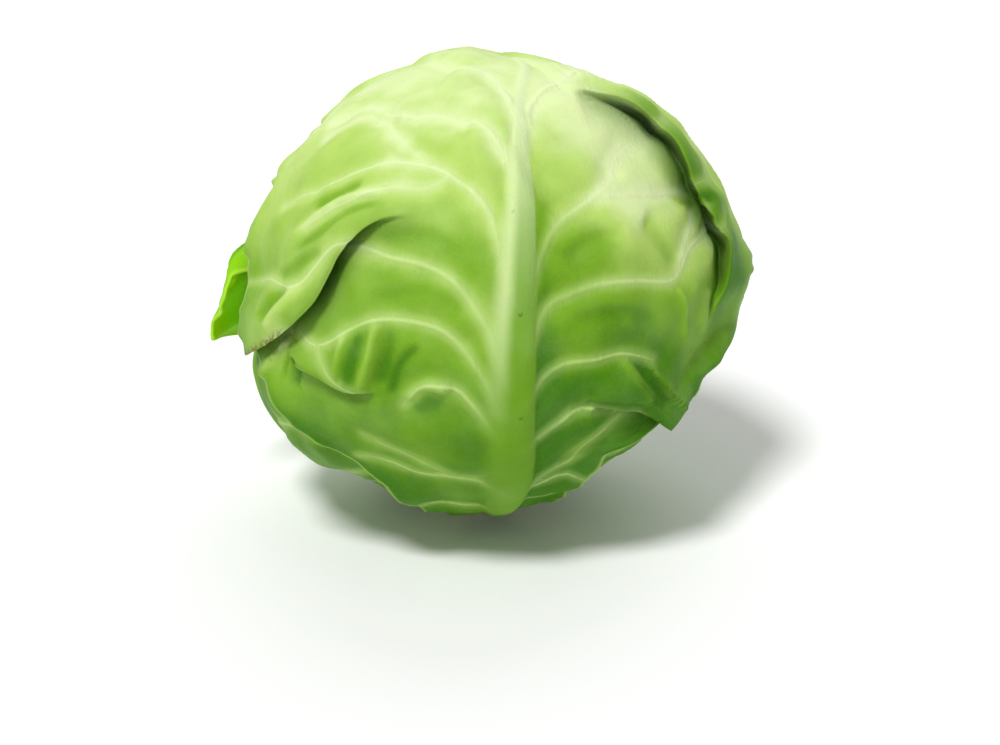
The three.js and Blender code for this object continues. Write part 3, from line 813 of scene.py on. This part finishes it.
# %% Blade
PILLOW, PILLOW_REACH, SMOOTH_TIP = 2.1, 6.5, (42, 66)
RIB_SHARE, RIB_SLOPE_LEFT, RIB_SLOPE_RIGHT, RIB_WIDER_LEFT = 0.85, 2.4, 4.5, 1.2
BROAD_WAVE, FINE_WAVE = (46, 0.55), (16, 0.28)
PRESSED_RIB, PRESSED_RELIEF = 0.55, 0.25
OFF_RIB, TIP_SMOOTHER, STANDS_OFF = (0.7, 1.25), 0.85, (2.5, 9)


def blade_surface(leaf, u, v):
    """Where the leaf's outer face is, and what its finish needs to know, for grid places u and v."""
    index = LEAVES.index(leaf)
    row = STALK_END + (leaf["last"] - STALK_END) * v
    side = np.sign(u)
    x = u * half_width(leaf, row, side)
    y = climbed(row, x)
    inside = (1 - np.abs(u)) * half_width(leaf, row, side) * DEGREE_MM
    end = (leaf["last"] - row) * DEGREE_MM
    margin = margin_lift(leaf, x, y, row, side)
    lift = np.zeros(len(u))
    marks = np.zeros((3, len(u)))
    for fold in leaf_folds[leaf["name"]]:
        x, y, rise, fold_marks = fold_over(fold, x, y)
        lift += rise
        marks = np.maximum(marks, fold_marks)
    d = leaf["chart"].to_head(x, y)
    free = bare(index, d)
    veins = leaf_veins[leaf["name"]]
    ridge = nearest_bit(bits_of(veins), x, y)[3]
    across, away, half, _, tone = nearest_bit(bits_of([vein for vein in veins if vein.main]), x, y)
    rib_side, rib_away = nearest_bit(bits_of([Vein(midrib_of(leaf), 1, 1, 1)]), x, y)[:2]
    rib_half = along(RIB_HALF, y) * DEGREE_MM
    left = rib_side > 0
    over = rib_away / rib_half / np.where(left, RIB_WIDER_LEFT, 1.0)
    slope = np.where(left, RIB_SLOPE_LEFT, RIB_SLOPE_RIGHT)
    rib = RIB_SHARE * along(RIB_HEIGHT, y) * np.exp(-(over**slope))
    off_rib = smooth(*OFF_RIB, rib_away / rib_half)
    pillow = PILLOW * (1 - TIP_SMOOTHER * smooth(*SMOOTH_TIP, y))
    crease = crease_relief(leaf, x, y)
    relief = (pillow * (1 - np.exp(-((away / PILLOW_REACH) ** 2))) + ridge) * off_rib + crease
    (broad, broad_height), (fine, fine_height) = BROAD_WAVE, FINE_WAVE
    relief += broad_height * unevenness(d, broad, leaf["seed"])
    relief += fine_height * unevenness(d, fine, leaf["seed"] + 1) * off_rib
    rib = rib * (PRESSED_RIB + (1 - PRESSED_RIB) * free)
    relief = np.maximum(rib, relief * (PRESSED_RELIEF + (1 - PRESSED_RELIEF) * free))
    radius = heart_radius(d) + FIRST_GAP + lift_over(index, d) + BLADE + relief + free * (lift + margin)
    places = CENTRE + d * (radius * MM)[:, None]
    rim = np.minimum(inside, end)
    beside_rib = np.exp(-(((-rib_side / rib_half - RIB_SHADOW_AT) / RIB_SHADOW_WIDE) ** 2))
    beside_rib = beside_rib * (1 - smooth(*RIB_SHADOW_TOP, y))
    # Painted shade beside the rib and in crease valleys, painted light on crease ridges.
    green = green_share(leaf, x, y, rim) + marks[1] + RIB_SHADOW * beside_rib - CREASE_PAINTED_SHADE * crease
    # under is painted shade, dark under the lip of a fold.
    facts = dict(vein_side=across, vein_away=away, vein_half=half, vein_tone=tone, rib_side=rib_side,
                 rib_half=rib_half, rim=rim, under=marks[0], torn=marks[2], green=green,
                 stands_off=smooth(*STANDS_OFF, margin * free), chart_x=x, chart_y=y)
    return places, facts


leaf_middle = blade_surface(front, np.array([0.0]), np.array([0.5]))[0][0]
print("the front leaf's middle lies at", [round(v * 1000) for v in leaf_middle], "mm")

# %% [markdown]
# ## From a grid to a leaf
# Each leaf starts as a flat bmesh grid. Edges near a vein, a crease, the margin or a fold are subdivided
# once, and those close to a fold again, so that the mesh is fine only where the shape is. Subdividing the
# whole front leaf twice would make it six times as heavy. Then every point is put in its place on the head.

# %% Make one leaf
NEAR_FOLD, CLOSE_TO_FOLD, CREASE_LESS, NEAR_RIM = 8, 5, 5.0, 2.2
THINNEST_REFINED = 0.5


def grid_places(bm):
    flat = np.array([vertex.co[:2] for vertex in bm.verts])
    return flat[:, 0], (flat[:, 1] + 1) / 2


def refine(bm, wanted):
    """Subdivides the edges with an end where wanted is true."""
    edges = [edge for edge in bm.edges if wanted[edge.verts[0].index] or wanted[edge.verts[1].index]]
    bmesh.ops.subdivide_edges(bm, edges=edges, cuts=1, use_grid_fill=True)
    bm.verts.index_update()


def fold_distance(leaf, u, v):
    """Millimetres to the nearest fold, or to the nearest crease and a little more."""
    row = STALK_END + (leaf["last"] - STALK_END) * v
    x = u * half_width(leaf, row, u)
    y = climbed(row, x)
    nearest = np.full(len(u), 99.0)
    for fold in leaf_folds[leaf["name"]]:
        nearest = np.minimum(nearest, np.abs(near_path(fold.path, x, y)[0]))
    if leaf is front:
        for path in crease_paths.values():
            nearest = np.minimum(nearest, np.abs(near_path(path, x, y)[0]) + CREASE_LESS)
    return nearest


def leaf_mesh(leaf):
    name = leaf["name"]
    step = leaf["step"] * 1
    widest = max(width for _, width in leaf["width"]) * 2 * DEGREE_MM
    tall = (leaf["last"] - STALK_END) * DEGREE_MM
    bm = bmesh.new()
    bmesh.ops.create_grid(bm, x_segments=int(widest / step), y_segments=int(tall / step), size=1)
    bm.verts.index_update()
    u, v = grid_places(bm)
    _, facts = blade_surface(leaf, u, v)
    vein_half = facts["vein_half"]
    near_vein = (facts["vein_away"] < 2.2 * vein_half + 0.6) & (vein_half > THINNEST_REFINED)
    refine(bm, near_vein | (fold_distance(leaf, u, v) < NEAR_FOLD) | (facts["rim"] < NEAR_RIM))
    refine(bm, fold_distance(leaf, *grid_places(bm)) < CLOSE_TO_FOLD)
    bmesh.ops.triangulate(bm, faces=[face for face in bm.faces if len(face.verts) > 4])
    u, v = grid_places(bm)
    places, facts = blade_surface(leaf, u, v)
    mesh = bpy.data.meshes.new(name + "_blade")
    bm.to_mesh(mesh)
    bm.free()
    mesh.vertices.foreach_set("co", places.ravel().astype(np.float32))
    for key, values in facts.items():
        mesh.attributes.new(key, "FLOAT", "POINT").data.foreach_set("value", values.astype(np.float32))
    mesh.shade_smooth()
    mesh.update()
    return mesh


def add_piece(name, mesh, node, finish):
    piece = bpy.data.objects.new(name, mesh)
    bpy.context.scene.collection.objects.link(piece)
    mesh.materials.append(finish)
    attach(piece, "root")
    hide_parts(node)
    return piece


print("a leaf's grid before refining:", [round(leaf["step"], 1) for leaf in LEAVES], "mm between points")

# %% [markdown]
# ## Shader maths in plain Python
# Node trees are easier to read as sums. The Val class wraps one output socket, so that 1 - mask * 2 adds the
# Math nodes for you. Any other node comes from Finish.node, which sets the node's options first and then
# fills its sockets with numbers or with other Vals.

# %% Socket maths
class Val:
    def __init__(self, finish, socket):
        self.finish, self.socket = finish, socket

    def math(self, operation, *values):
        return self.finish.node("ShaderNodeMath", dict(operation=operation), dict(enumerate(values)))

    def __add__(self, other):
        return self.math("ADD", self, other)

    def __radd__(self, other):
        return self.math("ADD", other, self)

    def __sub__(self, other):
        return self.math("SUBTRACT", self, other)

    def __rsub__(self, other):
        return self.math("SUBTRACT", other, self)

    def __mul__(self, other):
        return self.math("MULTIPLY", self, other)

    def __rmul__(self, other):
        return self.math("MULTIPLY", other, self)

    def __truediv__(self, other):
        return self.math("DIVIDE", self, other)

    def __rtruediv__(self, other):
        return self.math("DIVIDE", other, self)

    def __abs__(self):
        return self.math("ABSOLUTE", self)


class Finish:
    """A material whose Principled shader is fed by Vals."""

    def __init__(self, name):
        self.material = bpy.data.materials.new(name)
        self.material.use_nodes = True
        self.tree = self.material.node_tree
        self.shader = self.tree.nodes["Principled BSDF"]

    def fill(self, socket, value):
        if isinstance(value, Val):
            self.tree.links.new(value.socket, socket)
        else:
            socket.default_value = value

    def node(self, kind, settings=None, values=None, output=0):
        made = self.tree.nodes.new(kind)
        for key, value in (settings or {}).items():
            setattr(made, key, value)
        for key, value in (values or {}).items():
            self.fill(made.inputs[key], value)
        return Val(self, made.outputs[output])

    def attribute(self, name):
        return self.node("ShaderNodeAttribute", dict(attribute_name=name), output="Fac")

    def place(self):
        return self.node("ShaderNodeTexCoord", output="Object")

    def stretch(self, low, high, value, out_low=0.0, out_high=1.0):
        """A smooth step of value from low to high."""
        return self.node("ShaderNodeMapRange", dict(interpolation_type="SMOOTHSTEP", clamp=True),
                         {0: value, 1: low, 2: high, 3: out_low, 4: out_high})

    def noise(self, per_metre, detail=2.0, at=None, distortion=0.0):
        return self.node("ShaderNodeTexNoise", None,
                         {"Vector": at or self.place(), "Scale": per_metre, "Detail": detail,
                          "Distortion": distortion}, output="Fac")

    def mix(self, factor, first, second):
        return self.node("ShaderNodeMix", dict(data_type="RGBA"), {0: factor, 6: first, 7: second}, output=2)

    def bump(self, height, metres, strength=1.0, normal=None):
        values = {"Height": height, "Distance": metres, "Strength": strength}
        if normal is not None:
            values["Normal"] = normal
        return self.node("ShaderNodeBump", None, values)

    def set(self, **values):
        for key, value in values.items():
            self.fill(self.shader.inputs[key.replace("_", " ")], value)
        return self.material


def rgb(red, green, blue):
    """A colour as seen on screen, 0 to 255, in Blender's linear numbers."""
    def linear(value):
        value /= 255
        return value / 12.92 if value < 0.04045 else ((value + 0.055) / 1.055) ** 2.4
    return (linear(red), linear(green), linear(blue), 1.0)


print("mid grey on screen is", round(rgb(128, 128, 128)[0], 3), "in linear light")

# %% [markdown]
# ## The finish of a leaf
# A cabbage leaf is green tissue under a thin grey bloom of wax. The tip, which the sun reaches least inside
# the growing head, stays pale, and the foot is deep green. The veins have little green in them, and the
# tissue beside them is paler too. The finest net of veins is too small to model and goes into colour and
# bump. Light also passes into the leaf, so its shadows stay green: the subsurface weight does that. The
# back leaf's margin is lit right through from behind. A thin translucent shader could show that too, but a
# weak green emission where the margin stands off the head is steadier and bakes into a texture.
# The pale tip and the deep green foot are partly the leaf's own tone, partly painted light high on the head
# and painted shade low down.

# %% Leaf finish
# The first colour is painted shade, for under the lip of a fold.
LIP_PAINTED_SHADE, SCAR, WAX = rgb(38, 88, 0), rgb(112, 98, 34), rgb(214, 232, 180)
LIT_EDGE, LIT_INSIDE, UNLIT = rgb(160, 214, 0), rgb(104, 190, 0), (0, 0, 0, 1)
NET_PER_METRE, COMB_ACROSS, COMB_ALONG = 520.0, 1.1, 0.16


def leaf_finish(name, tones, vein, bloom=0.06, glow=0.2, through=0.0):
    """tones are the blade's colours from its palest to its deepest green.

    through is how strongly light from behind comes through the margin where it stands off the head.
    """
    pale, middle, green, deep = tones
    f = Finish(name)
    side, away, half = (f.attribute(key) for key in ("vein_side", "vein_away", "vein_half"))
    rim, torn, under = (f.attribute(key) for key in ("rim", "torn", "under"))
    chart_y, greenness = f.attribute("chart_y"), f.attribute("green")
    rib_side, rib_half = f.attribute("rib_side"), f.attribute("rib_half")

    tone = f.attribute("vein_tone")
    core = f.stretch(0.1, 1.1, abs(side) / half, 1.0, 0.0) * f.stretch(1.4, 2.6, away / half, 1.0, 0.0)
    halo = f.stretch(0.0, 4.5, away, 0.3, 0.0)
    on_rib = (f.stretch(0.75, 1.7, rib_side / rib_half, 1.0, 0.0)
              * f.stretch(0.86, 1.06, (0 - rib_side) / rib_half, 1.0, 0.0))
    beside = f.stretch(0.0, 8.0, away, 1.0, 0.0)

    clouds = f.noise(20, 3.0) - 0.5
    patches = f.noise(75, 4.0) - 0.5
    cells = f.node("ShaderNodeTexVoronoi", dict(feature="DISTANCE_TO_EDGE"),
                   {"Vector": f.place(), "Scale": NET_PER_METRE, "Randomness": 0.9}, output="Distance")
    net = f.stretch(0.0, 0.12, cells, 1.0, 0.0)

    shade = greenness + 0.35 * clouds + 0.3 * patches - 0.14 * beside
    blade = f.mix(f.stretch(0.0, 0.36, shade), pale, middle)
    blade = f.mix(f.stretch(0.3, 0.72, shade), blade, green)
    blade = f.mix(f.stretch(0.66, 1.1, shade), blade, deep)
    vein_tint = f.mix(f.stretch(0.0, 0.8, shade), f.mix(0.5, pale, vein), f.mix(0.6, pale, middle))
    blade = f.mix(net * 0.015, blade, vein)
    blade = f.mix(halo, blade, vein_tint)
    blade = f.mix(core * tone * 0.85, blade, vein_tint)
    # The rib's deeper green low on the head is partly its own tone and partly painted shade.
    rib_tint = f.mix(f.stretch(-12, 58, chart_y), f.mix(0.25, green, deep), f.mix(0.6, middle, vein))
    fan = f.stretch(0.05, 0.8, rib_side / rib_half) * f.stretch(-34, 4, chart_y)
    rib_tint = f.mix(fan * 0.7, rib_tint, pale)
    blade = f.mix(on_rib * 0.9, blade, rib_tint)
    blade = f.mix(f.stretch(0.0, 2.2, rim, 0.6, 0.0), blade, middle)
    # Painted shade under the lip of a fold.
    blade = f.mix(under * 0.9, blade, LIP_PAINTED_SHADE)
    scar = torn * f.stretch(0.35, 0.55, f.noise(500, 3.0))
    blade = f.mix(scar * 0.85, blade, SCAR)
    speck = f.stretch(0.7, 0.76, f.noise(1300, 1.0)) * f.stretch(0.4, 0.9, shade)
    blade = f.mix(speck * 0.25, blade, deep)
    wax = f.stretch(0.4, 0.75, f.noise(45, 5.0)) * bloom
    colour = f.mix(wax, blade, WAX)

    strokes = f.node("ShaderNodeCombineXYZ", None,
                     {0: f.attribute("chart_x") * COMB_ACROSS, 1: chart_y * COMB_ALONG})
    combed = f.noise(1.0, 3.0, at=strokes, distortion=0.6) * f.stretch(0.8, 6.0, away, 1.0, 0.15)
    fine = f.bump(net * 0.12 + f.noise(1100, 2.0) * 0.3 + combed * 1.0, 0.0003)
    soft = f.bump(f.noise(150, 3.0), 0.0006, 0.7, fine)
    roughness = f.stretch(0.3, 0.8, wax * 2 + clouds + 0.5, 0.42, 0.56)
    if through:
        lit = f.mix(f.stretch(0.0, 14.0, rim), LIT_EDGE, LIT_INSIDE)
        f.set(Emission_Color=f.mix(f.attribute("stands_off"), UNLIT, lit), Emission_Strength=through)
    return f.set(Base_Color=colour, Roughness=roughness, Normal=soft, Specular_IOR_Level=0.1,
                 Subsurface_Weight=glow, Subsurface_Radius=(0.5, 1.0, 0.08), Subsurface_Scale=0.003)


WRAPPER_TONES = (rgb(217, 237, 168), rgb(178, 211, 102), rgb(122, 170, 36), rgb(65, 123, 0))
BACK_TONES = (rgb(212, 238, 136), rgb(170, 214, 66), rgb(120, 180, 12), rgb(76, 140, 0))
PALE_VEIN = rgb(236, 247, 208)
FINISHES = {
    "front_leaf": leaf_finish("front_leaf_finish", WRAPPER_TONES, PALE_VEIN),
    "right_leaf": leaf_finish("right_leaf_finish", WRAPPER_TONES, PALE_VEIN),
    "back_leaf": leaf_finish("back_leaf_finish", BACK_TONES, PALE_VEIN, bloom=0.03, through=0.36),
    "left_leaf": leaf_finish("left_leaf_finish", WRAPPER_TONES, PALE_VEIN),
}
print("nodes of the front leaf's finish:", len(bpy.data.materials["front_leaf_finish"].node_tree.nodes))

# %% [markdown]
# ## Build the wrapper leaves
# Each mesh is one sheet: the outer side of the blade. A Solidify modifier gives it its thickness, on the
# inner side, so that the outer side stays exactly where it was put.

# %% Build the wrapper leaves
BLADE_THICKNESS = 1.1 * MM
for leaf in LEAVES:
    mesh = leaf_mesh(leaf)
    blade = add_piece(leaf["name"] + "_fine", mesh, leaf["name"], FINISHES[leaf["name"]])
    wall = blade.modifiers.new("blade_thickness", "SOLIDIFY")
    wall.thickness = BLADE_THICKNESS
    wall.offset = -1
    triangles = sum(len(face.vertices) - 2 for face in mesh.polygons)
    print(leaf["name"], "faces of the blade's outer side as triangles:", triangles)

# %% [markdown]
# ## The heart
# Between the leaf bases, underneath, a little of the heart shows. It is the ball of inner leaves, so it gets
# the edges of a few leaves as low steps, with their ribs. Whole inner leaves would be work that nobody sees.

# %% Make the heart
HEART_LEAVES = (dict(azimuth=40, reach=74), dict(azimuth=165, reach=72), dict(azimuth=290, reach=76))
HEART_CLEAR, HEART_STEP, HEART_STEP_WIDTH, HEART_RIB, HEART_UNEVEN = 2.6, 0.8, 2.5, 0.1, 0.2


def heart_mesh():
    bm = bmesh.new()
    bmesh.ops.create_uvsphere(bm, u_segments=140, v_segments=90, radius=1)
    mesh = bpy.data.meshes.new("heart_ball")
    bm.to_mesh(mesh)
    bm.free()
    d = np.empty(len(mesh.vertices) * 3, np.float32)
    mesh.vertices.foreach_get("co", d)
    d = d.reshape(-1, 3).astype(float)
    d /= np.linalg.norm(d, axis=1)[:, None]
    relief = np.zeros(len(d))
    for inner in HEART_LEAVES:
        chart = Chart(inner["azimuth"])
        x, y = chart.from_head(d)
        edge = np.hypot(x, y) + 2.5 * np.sin(np.arctan2(y, x) * 7)
        relief += HEART_STEP * (1 - smooth(inner["reach"], inner["reach"] + HEART_STEP_WIDTH, edge))
        relief += HEART_RIB * rib_of(x, y)
    radius = heart_radius(d) - HEART_CLEAR + relief + HEART_UNEVEN * unevenness(d, 25, 21)
    mesh.vertices.foreach_set("co", (CENTRE + d * (radius * MM)[:, None]).ravel().astype(np.float32))
    mesh.shade_smooth()
    mesh.update()
    return mesh


def heart_finish():
    f = Finish("heart_finish")
    streaks = f.node("ShaderNodeMapping", None, {"Vector": f.place(), "Scale": (1, 1, 0.15)})
    shade = f.noise(40, 4.0) * 0.6 + f.noise(160, 3.0, at=streaks) * 0.4
    colour = f.mix(f.stretch(0.35, 0.65, shade), rgb(206, 226, 150), rgb(158, 196, 88))
    return f.set(Base_Color=colour, Roughness=0.5, Normal=f.bump(f.noise(300, 3.0), 0.0004),
                 Subsurface_Weight=0.2, Subsurface_Radius=(0.6, 1.0, 0.15), Subsurface_Scale=0.003)


heart = add_piece("heart_fine", heart_mesh(), "heart", heart_finish())
print("heart", len(heart.data.polygons), "faces")

# %% [markdown]
# ## The stump
# The grower cuts the head off its stalk with one stroke. The cut face is pale, with a ring of woody strands
# inside the rind, and dries to tan at its edge. Spinning a profile is the natural way to make it. The rings
# on its side are the scars of leaves that were trimmed away.

# %% Make the stump
CUT_FACE = ((0, 0.4), (0.5, 0.35), (0.62, 0.0), (0.86, 0.0))
SCAR_RINGS = ((0.905, 0.5), (0.93, 2.6), (0.985, 4.0), (0.95, 5.4), (0.99, 7.4), (0.95, 8.8))
NOTCHES, NOTCH_REACH, NOTCH_DEPTH = 9, 0.09, 0.05


def stump_mesh():
    low, high = STUMP_LOW[2], STUMP_HIGH[2]
    radius = (STUMP_HIGH[0] - STUMP_LOW[0]) / 2
    profile = [(radius * share, height * MM) for share, height in (*CUT_FACE, *SCAR_RINGS)]
    profile += [(radius * 0.97, high - 0.8 * MM), (radius * 0.9, high), (0, high)]
    bm = bmesh.new()
    chain = [bm.verts.new((r, 0, low + z)) for r, z in profile]
    edges = [bm.edges.new(pair) for pair in zip(chain, chain[1:])]
    bmesh.ops.spin(bm, geom=chain + edges, cent=(0, 0, 0), axis=(0, 0, 1), angle=math.tau, steps=72,
                   use_merge=True, use_duplicate=False)
    bmesh.ops.remove_doubles(bm, verts=bm.verts, dist=0.00002)
    bmesh.ops.subdivide_edges(bm, edges=bm.edges, cuts=1, use_grid_fill=True, smooth=0.5)
    bmesh.ops.recalc_face_normals(bm, faces=bm.faces)
    rng = np.random.default_rng(9)
    notches = rng.uniform(0, math.tau, NOTCHES)
    for vertex in bm.verts:
        turn = math.atan2(vertex.co.y, vertex.co.x)
        out = vertex.co.xy.length / radius
        scar = sum(math.exp(-((math.remainder(turn - n, math.tau) / NOTCH_REACH) ** 2)) for n in notches)
        side = smooth(0.85, 0.95, out) * smooth(0.6 * MM, 2 * MM, vertex.co.z - low)
        shrink = 1 - NOTCH_DEPTH * float(side) * min(scar, 1)
        vertex.co.x *= shrink
        vertex.co.y *= shrink
    mesh = bpy.data.meshes.new("stump_cut")
    bm.to_mesh(mesh)
    bm.free()
    mesh.shade_smooth()
    return mesh


def stump_finish():
    f = Finish("stump_finish")
    split = f.node("ShaderNodeSeparateXYZ", None, {0: f.place()}).socket.node
    x, y, z = (Val(f, split.outputs[key]) for key in "XYZ")
    from_axis = f.node("ShaderNodeMath", dict(operation="SQRT"), {0: x * x + y * y})
    wood = f.stretch(0.0098, 0.0108, from_axis) * f.stretch(0.0122, 0.0132, from_axis, 1.0, 0.0)
    face = f.stretch(0.0006, 0.0016, z, 1.0, 0.0)
    dry = f.stretch(0.0115, 0.0148, from_axis + 0.002 * (f.noise(300, 3.0) - 0.5))
    speck = f.stretch(0.6, 0.72, f.noise(1400, 2.0))
    colour = f.mix(f.noise(120, 4.0), rgb(226, 224, 182), rgb(206, 210, 150))
    colour = f.mix(wood * face * 0.55, colour, rgb(176, 170, 104))
    colour = f.mix(dry * 0.45, colour, rgb(178, 150, 96))
    colour = f.mix(speck * face * 0.4, colour, rgb(150, 128, 78))
    strands = f.node("ShaderNodeMapping", None, {"Vector": f.place(), "Scale": (1, 1, 0.12)})
    rough = f.noise(700, 3.0, at=strands) + 0.5 * wood
    return f.set(Base_Color=colour, Roughness=f.stretch(0.3, 0.7, f.noise(200, 2.0), 0.55, 0.75),
                 Normal=f.bump(rough, 0.0004), Subsurface_Weight=0.15,
                 Subsurface_Radius=(1.0, 0.8, 0.4), Subsurface_Scale=0.002)


stump = add_piece("stump_fine", stump_mesh(), "stump", stump_finish())
print("stump", len(stump.data.polygons), "faces")

# %% [markdown]
# ## Floor and light
# The floor is plain and white. A large soft sun, up and to the left, does most of the lighting. A weaker
# one brightens the edges from behind, and the pale world fills the shadows. A sun lights the floor evenly,
# which area lights would not.

# %% Stage
def make_floor():
    bm = bmesh.new()
    bmesh.ops.create_grid(bm, x_segments=1, y_segments=1, size=6)
    mesh = bpy.data.meshes.new("floor")
    bm.to_mesh(mesh)
    bm.free()
    floor = bpy.data.objects.new("floor", mesh)
    bpy.context.scene.collection.objects.link(floor)
    f = Finish("floor_finish")
    mesh.materials.append(f.set(Base_Color=(0.93, 0.93, 0.93, 1), Roughness=0.9, Specular_IOR_Level=0.0))


def make_sun(name, azimuth, elevation, strength, softness):
    data = bpy.data.lights.new(name, "SUN")
    data.energy = strength
    data.angle = math.radians(softness)
    sun = bpy.data.objects.new(name, data)
    bpy.context.scene.collection.objects.link(sun)
    sun.rotation_euler = Vector(-direction(azimuth, elevation)).to_track_quat("-Z", "Y").to_euler()


def make_world(brightness):
    world = bpy.data.worlds.new("studio")
    world.use_nodes = True
    world.node_tree.nodes["Background"].inputs["Color"].default_value = (1, 1, 1, 1)
    world.node_tree.nodes["Background"].inputs["Strength"].default_value = brightness
    bpy.context.scene.world = world


# %% Light the stage
make_floor()
make_sun("key", azimuth=-28, elevation=58, strength=2.45, softness=15)
make_sun("from_behind", azimuth=175, elevation=40, strength=0.9, softness=60)
make_world(0.34)
bpy.context.scene.view_settings.view_transform = "Standard"
print("lights", len(bpy.data.lights), "and a pale world")
